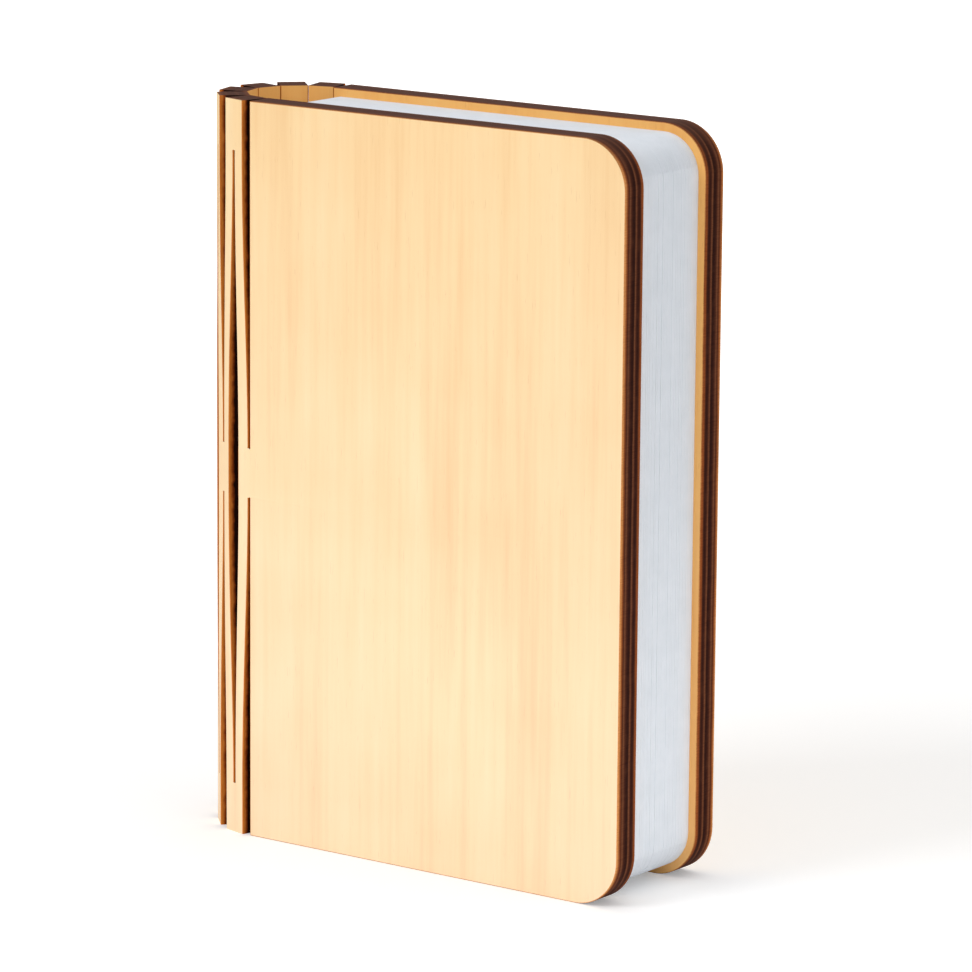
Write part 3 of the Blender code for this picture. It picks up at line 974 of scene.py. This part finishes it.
    def set_flat(self, piece: Piece, place: int) -> None:
        """Dress a slat's or bridge's block and stand it at its angle round the spine.

        Args:
            piece: The flat block.
            place: Its body's place in the chain.
        """
        plan = self.plan
        self.note_sheet(piece, plan.along(place), 1, plan.board / 2, -1)
        self.paint(piece)
        turn = Matrix.Rotation(plan.heading(place), 4, "Z")
        piece.data.transform(Matrix.Translation(plan.centre(place)) @ turn)
        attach(piece, plan.body(place))

    def slat(self, number: int) -> None:
        """Model the two ties of one slat."""
        plan = self.plan
        place = 2 * number - 1
        width = plan.pitch + plan.beam
        for end, foot, top in (
            ("bottom", 0.0, plan.tie_height),
            ("top", plan.height - plan.tie_height, plan.height),
        ):
            tie = self.block(f"slat_{number}_tie_{end}", width, foot, top, 0)
            self.set_flat(tie, place)
            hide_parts(f"spine_slat_{number}")

    def bridge(self, number: int) -> None:
        """Model the bridge between two slats at mid-height."""
        plan = self.plan
        width = plan.pitch + plan.beam
        top = plan.height - plan.bridge_foot
        piece = self.block(f"bridge_{number}_web", width, plan.bridge_foot, top, 0)
        self.set_flat(piece, 2 * number)
        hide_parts(f"spine_bridge_{number}")

    def lean(self, piece: Piece, hand: int, tie_end: float, bridge_end: float) -> None:
        """Lean a straight beam from its partner in the tie to its neighbour across the bridge.

        Args:
            piece: The beam's block in its own frame.
            hand: +1 when its partner in the tie lies at +X, -1 when at -X.
            tie_end: Height of its end at the tie.
            bridge_end: Height of its end at the bridge.
        """
        half = self.plan.beam / 2
        for vertex in piece.data.vertices:
            weight = blend_weight(vertex.co.z, tie_end, bridge_end)
            to_partner = half + self.plan.flare * (1.0 - weight)
            to_bridge = half + self.plan.flare * weight
            reach = to_partner if vertex.co.x * hand > 0 else to_bridge
            inset = half - abs(vertex.co.x)
            vertex.co.x = math.copysign(reach - inset, vertex.co.x)

    def beam_half(self, number: int, upper: bool) -> None:
        """Model half of one beam, which twists from its slat's tie to the bridge's height.

        Args:
            number: The beam's number from the front cover.
            upper: Whether it is the upper half.
        """
        plan = self.plan
        end = "upper" if upper else "lower"
        piece = self.block(
            f"beam_{number}_{end}", plan.beam, plan.tie_height, plan.bridge_foot, self.beam_steps
        )
        if upper:
            mirror = Matrix.Translation((0, 0, plan.height)) @ Matrix.Rotation(math.pi, 4, "Y")
            piece.data.transform(mirror)
        tie_place = number if number % 2 else number - 1
        bridge_place = number - 1 if number % 2 else number
        tie_end = plan.height - plan.tie_height if upper else plan.tie_height
        bridge_end = plan.height - plan.bridge_foot if upper else plan.bridge_foot
        self.lean(piece, 1 if number % 2 else -1, tie_end, bridge_end)
        self.note_sheet(piece, plan.along(0) + (number - 0.5) * plan.pitch, 1, plan.board / 2, -1)
        self.paint(piece)
        axis = plan.axes[number - 1]
        for vertex in piece.data.vertices:
            weight = blend_weight(vertex.co.z, tie_end, bridge_end)
            place = tie_place + (bridge_place - tie_place) * weight
            vertex.co = Matrix.Rotation(plan.heading(place), 3, "Z") @ vertex.co + axis
        piece.data.update()
        Bench.smooth(piece, self.beam_angle)
        plan.body(tie_place)
        plan.body(bridge_place)
        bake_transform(piece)

    def build(self) -> None:
        """Build the whole sheet."""
        plan = self.plan
        self.cover("front_cover_board", "front_cover", plan.front_y, 1)
        self.cover("back_cover_board", "back_cover", plan.back_y, -1)
        LOG.info("covers: %.1f mm board", plan.board / MM)
        slats = plan.beam_count // 2
        for number in range(1, slats + 1):
            self.slat(number)
        for number in range(1, slats):
            self.bridge(number)
        for number in range(1, plan.beam_count + 1):
            self.beam_half(number, upper=False)
            self.beam_half(number, upper=True)
        LOG.info("hinge: %d slats, %d beams of %.2f mm", slats, plan.beam_count, plan.beam / MM)


class PaperBlock:
    """The pleated paper: folded leaves, every third one riding a body of the hinge, and the folds
    between them.
    """

    per_body = 3
    slit = 0.05 * MM
    gap = 0.014 * MM
    fold_round = 0.035 * MM
    fold_steps = 3
    corner_steps = 12
    smooth_angle = math.radians(30)
    rim_angle = 0.5
    valley_depth = 0.15 * MM
    valley_steps = 4
    jitter = 0.03 * MM
    seed = 11
    inset = 1.4 * MM
    start = 1.5 * MM

    def __init__(self, plan: HingePlan, corner_radius: float) -> None:
        """Work out the pleats' spacing from the covers.

        Args:
            plan: The hinge plan.
            corner_radius: The covers' corner radius.
        """
        self.plan = plan
        self.radius = corner_radius - self.inset
        self.count = plan.beam_count * self.per_body + 1
        self.inner = plan.back_y - plan.front_y - 2 * plan.board
        self.step = (self.inner - self.gap) / self.count
        self.thick = self.step - self.gap
        self.front = plan.edge_x + self.start
        self.fore = plan.fore_x - self.inset
        self.paper = SpunPaper().build()

    def middle(self, number: int) -> float:
        """Y of a pleat's middle plane."""
        return self.plan.front_y + self.plan.board + self.gap + self.thick / 2 + number * self.step

    def pattern(self) -> Piece:
        """Model one pleat, its fold at the fore-edge and open towards the spine."""
        plan = self.plan
        half = self.thick / 2
        low = Vector((self.front, -half, self.inset))
        high = Vector((self.fore, half, plan.height - self.inset))
        piece = Bench.box("pleat", low, high)
        Bench.edit(piece)
        Bench.pick(piece, Pick.EDGES, lambda edge: is_fore_corner(edge, self.thick))
        Bench.bevel(self.radius, self.corner_steps)
        Bench.pick(piece, Pick.EDGES, self.is_fold_rim)
        Bench.bevel(self.fold_round, self.fold_steps)
        Bench.done()
        sheet = (self.thick - self.slit) / 2
        tool = Bench.box(
            "slit",
            Vector((low.x - plan.board, -self.slit / 2, -plan.board)),
            Vector((high.x - sheet, self.slit / 2, plan.height + plan.board)),
        )
        Bench.carve(piece, tool)
        Bench.coat(piece, self.paper)
        Bench.smooth(piece, self.smooth_angle)
        return piece

    def is_fold_rim(self, edge: bmesh.types.BMEdge) -> bool:
        """Tell the outline's edges round the fore-edge."""
        first, second = (vert.co for vert in edge.verts)
        along = abs(first.y - second.y) < self.thick / 4
        outer = min(first.x, second.x) > self.fore - self.radius - self.thick
        return along and outer and edge.calc_face_angle(0.0) > self.rim_angle

    def weight(self, number: int) -> tuple[int, float]:
        """Give the body in front of a pleat and how far it follows the next one.

        Args:
            number: The pleat's number from the front cover.

        Returns:
            The body's place in the chain, and a weight from 0 up to but not 1.
        """
        return number // self.per_body, (number % self.per_body) / self.per_body

    def set_pleat(self, piece: Piece, number: int) -> None:
        """Move a pleat to its place, and attach it to its body when it is the first of that body's
        share.

        Args:
            piece: A copy of the pattern.
            number: The pleat's number from the front cover.
        """
        plan = self.plan
        middle = self.middle(number)
        longer = 1.0 + random.uniform(-1.0, 1.0) * self.jitter / (self.fore - self.front)
        for vertex in piece.data.vertices:
            vertex.co.x = self.front + (vertex.co.x - self.front) * longer
            vertex.co.y += middle
        piece.data.update()
        place, weight = self.weight(number)
        if weight == 0.0:
            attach(piece, plan.body(place))
            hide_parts(f"page_{place:02d}")
        else:
            plan.body(place)
            plan.body(place + 1)
            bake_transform(piece)

    def valley(self, number: int) -> None:
        """Model the inner fold between a pleat and the next."""
        plan = self.plan
        near = self.middle(number) + self.thick / 2
        far = self.middle(number + 1) - self.thick / 2
        low = Vector((self.front, near, self.inset))
        high = Vector((self.front + self.valley_depth, far, plan.height - self.inset))
        piece = Bench.box(f"valley_{number:02d}", low, high)
        Bench.edit(piece)
        for step in range(1, self.valley_steps):
            line = near + (far - near) * step / self.valley_steps
            Bench.cut(Vector((0, line, 0)), Vector((0, 1, 0)))
        Bench.done()
        Bench.coat(piece, self.paper)
        place, weight = self.weight(number)
        plan.body(place)
        plan.body(place + 1)
        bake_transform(piece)

    def build(self) -> None:
        """Build every pleat and the folds between them."""
        random.seed(self.seed)
        pattern = self.pattern()
        for number in range(self.count):
            self.set_pleat(Bench.copy(pattern, f"pleat_{number:02d}"), number)
        bpy.data.objects.remove(pattern, do_unlink=True)
        for number in range(self.count - 1):
            self.valley(number)
        LOG.info("paper: %d pleats of %.2f mm", self.count, self.thick / MM)


class LightBar:
    """The bar in the spine and the magnets: CAD nodes with their real finishes."""

    white = ((238, 238, 234), (228, 228, 223))
    finishes = {
        "light_housing": Moulding("white_housing", *white),
        "end_cap_bottom": Moulding("white_cap_low", *white),
        "end_cap_top": Moulding("white_cap_high", *white),
        "light_diffuser": Moulding(
            "frosted_diffuser", (244, 244, 240), (236, 236, 230), 0.35, transmission=0.25
        ),
        "led_board": Moulding("white_solder_mask", (236, 238, 234), (224, 228, 222), 0.3),
        "charge_board": Moulding("green_solder_mask", (28, 96, 52), (18, 74, 38), 0.3),
        "battery_cell": Moulding("cell_foil", (190, 192, 196), (168, 170, 176), 0.35, metallic=0.7),
        "usb_socket": Moulding("socket_steel", (196, 196, 194), (170, 170, 168), 0.28, metallic=1.0),
        "reed_switch": Moulding(
            "reed_glass", (110, 158, 132), (90, 140, 112), 0.08, transmission=0.6
        ),
    }
    diode = Moulding("diode_phosphor", (244, 222, 120), (236, 206, 96), 0.3)
    foam = Moulding("foam_tape", (214, 214, 208), (188, 188, 182), 0.95, 1400.0, 0.15 * MM)
    plating = Moulding("nickel_plate", (200, 198, 192), (182, 180, 176), 0.22, metallic=1.0)

    def finish_for(self, node: str) -> Moulding | None:
        """Choose a node's finish.

        Args:
            node: The CAD node's name.

        Returns:
            Its finish, or None for a node that another piece replaces.
        """
        if node in self.finishes:
            return self.finishes[node]
        if node.startswith("led_"):
            return self.diode
        if node.startswith("adhesive_pad"):
            return self.foam
        if "magnet" in node:
            return self.plating
        return None

    def build(self) -> None:
        """Dress the CAD nodes of the bar and the magnets."""
        made: dict[str, bpy.types.Material] = {}
        for name, item in frame["nodes"].items():
            finish = self.finish_for(name)
            if finish is None:
                continue
            if finish.name not in made:
                made[finish.name] = finish.build()
            node = item if isinstance(item, Piece) else bpy.data.objects[name]
            Bench.coat(node, made[finish.name])
            LOG.info("dressed %s with %s", name, finish.name)


CARD_AIM = 10.0 * MM


@dataclass(frozen=True)
class Lamp:
    """A soft lamp aimed at the book's middle: place and size in metres, power in watts."""

    name: str
    place: Triple
    size: tuple[float, float]
    power: float
    aim_height: float = 61.0 * MM

    def hang(self) -> None:
        """Hang the lamp and point it at the book's axis."""
        data = bpy.data.lights.new(self.name, "AREA")
        data.shape = "RECTANGLE"
        data.size, data.size_y = self.size
        data.energy = self.power
        item = bpy.data.objects.new(self.name, data)
        item.visible_camera = False
        bpy.context.scene.collection.objects.link(item)
        item.location = self.place
        aim = Vector((0.0, 0.0, self.aim_height))
        item.rotation_euler = (aim - Vector(self.place)).to_track_quat("-Z", "Y").to_euler()


@dataclass(frozen=True)
class Studio:
    """The photograph's camera, a pale floor and soft lamps."""

    azimuth: float = math.radians(36.162)
    elevation: float = math.radians(11.625)
    roll: float = math.radians(0.463)
    distance: float = 881.373 * MM
    shift_right: float = -4.909 * MM
    shift_up: float = 1.676 * MM
    lens: float = 204.24
    sensor: float = 36.0
    aim_from_edge: float = 45.0 * MM
    aim_from_front: float = 12.0 * MM
    aim_height: float = 61.0 * MM
    floor_size: float = 12.0
    floor_colour: Colour = (0.9, 0.9, 0.9, 1.0)
    floor_lift: float = 0.25
    shadow_reach: float = 0.14
    rise_reach: float = 4.0
    rise_gain: float = 3.0
    clip_start: float = 10.0 * MM
    ambient: float = 0.42
    lamps: tuple[Lamp, ...] = (
        Lamp("key", (-1.3, -2.8, 2.6), (1.6, 1.6), 48.0),
        Lamp("side", (0.9, -0.35, 0.5), (0.6, 0.6), 0.35),
        Lamp("overhead", (0.14, 0.1, 1.0), (1.3, 1.3), 3.6),
        Lamp("back", (-0.9, 2.8, 0.5), (1.6, 1.0), 18.0),
        Lamp("front_card", (0.0, -0.28, 0.025), (0.14, 0.14), 0.19, CARD_AIM),
        Lamp("front_foot", (0.0, -0.08, 0.01), (0.16, 0.03), 0.009, CARD_AIM),
        Lamp("side_card", (0.32, 0.0, 0.025), (0.14, 0.14), 0.06, CARD_AIM),
        Lamp("side_foot", (0.1, 0.0, 0.01), (0.06, 0.03), 0.006, CARD_AIM),
    )

    def camera(self, plan: HingePlan) -> None:
        """Stand the camera where the photograph was taken.

        Args:
            plan: The hinge plan, whose edges the aim point is measured from.
        """
        aim = Vector(
            (plan.edge_x + self.aim_from_edge, plan.front_y + self.aim_from_front, self.aim_height)
        )
        back = Vector(
            (
                math.sin(self.azimuth) * math.cos(self.elevation),
                -math.cos(self.azimuth) * math.cos(self.elevation),
                math.sin(self.elevation),
            )
        )
        level = Vector((math.cos(self.azimuth), math.sin(self.azimuth), 0.0))
        upright = back.cross(level)
        right = level * math.cos(self.roll) + upright * math.sin(self.roll)
        above = upright * math.cos(self.roll) - level * math.sin(self.roll)
        place = aim + right * self.shift_right + above * self.shift_up + back * self.distance
        data = bpy.data.cameras.new("photo_camera")
        data.lens = self.lens
        data.sensor_width = self.sensor
        data.clip_start = self.clip_start
        item = bpy.data.objects.new("photo_camera", data)
        bpy.context.scene.collection.objects.link(item)
        turn = Matrix((right, above, back)).transposed()
        item.matrix_world = Matrix.Translation(place) @ turn.to_4x4()
        bpy.context.scene.camera = item

    def floor(self) -> None:
        """Lay the pale floor, which shows white where no shadow falls."""
        bpy.ops.object.select_all(action="DESELECT")
        bpy.ops.mesh.primitive_plane_add(size=self.floor_size)
        item = bpy.context.object
        item.name = "floor"
        graph = Graph("white_floor")
        graph.shader.inputs["Base Color"].default_value = self.floor_colour
        graph.shader.inputs["Emission Color"].default_value = (1.0, 1.0, 1.0, 1.0)
        graph.shader.inputs["Specular IOR Level"].default_value = 0.0
        away = graph.add("VectorMath", operation="LENGTH")
        graph.join(graph.add("TexCoord").outputs["Object"], away.inputs[0])
        rise = graph.add("MapRange")
        graph.join(away.outputs["Value"], rise.inputs["Value"])
        rise.inputs["From Min"].default_value = self.shadow_reach
        rise.inputs["From Max"].default_value = self.shadow_reach * self.rise_reach
        rise.inputs["To Min"].default_value = self.floor_lift
        rise.inputs["To Max"].default_value = self.floor_lift * self.rise_gain
        path = graph.add("LightPath")
        lift = graph.math("MULTIPLY", path.outputs["Is Camera Ray"], rise.outputs["Result"])
        graph.join(lift, graph.shader.inputs["Emission Strength"])
        item.data.materials.append(graph.finish(1.0))

    def world(self) -> None:
        """Set an even pale surround."""
        world = bpy.data.worlds.new("surround")
        bpy.context.scene.world = world
        world.use_nodes = True
        nodes = world.node_tree.nodes
        links = world.node_tree.links
        background = nodes["Background"]
        background.inputs["Color"].default_value = (1.0, 1.0, 1.0, 1.0)
        path = nodes.new("ShaderNodeLightPath")
        seen = nodes.new("ShaderNodeMapRange")
        seen.inputs["To Min"].default_value = self.ambient
        seen.inputs["To Max"].default_value = 1.0
        links.new(path.outputs["Is Camera Ray"], seen.inputs["Value"])
        links.new(seen.outputs["Result"], background.inputs["Strength"])

    def build(self, plan: HingePlan) -> None:
        """Set the whole studio.

        Args:
            plan: The hinge plan.
        """
        self.camera(plan)
        self.floor()
        self.world()
        for lamp in self.lamps:
            lamp.hang()
        bpy.context.scene.view_settings.view_transform = "Standard"
        LOG.info("studio: lens %.1f mm at %.0f mm", self.lens, self.distance / MM)


def main() -> None:
    """Build the lamp's looks and the studio in order."""
    logging.basicConfig(level=logging.INFO, format="%(name)s: %(message)s")
    plan = HingePlan.read()
    Studio().build(plan)
    sheet = PlywoodSheet(plan)
    sheet.build()
    PaperBlock(plan, sheet.corner_radius).build()
    LightBar().build()


if __name__ == "__main__":
    main()
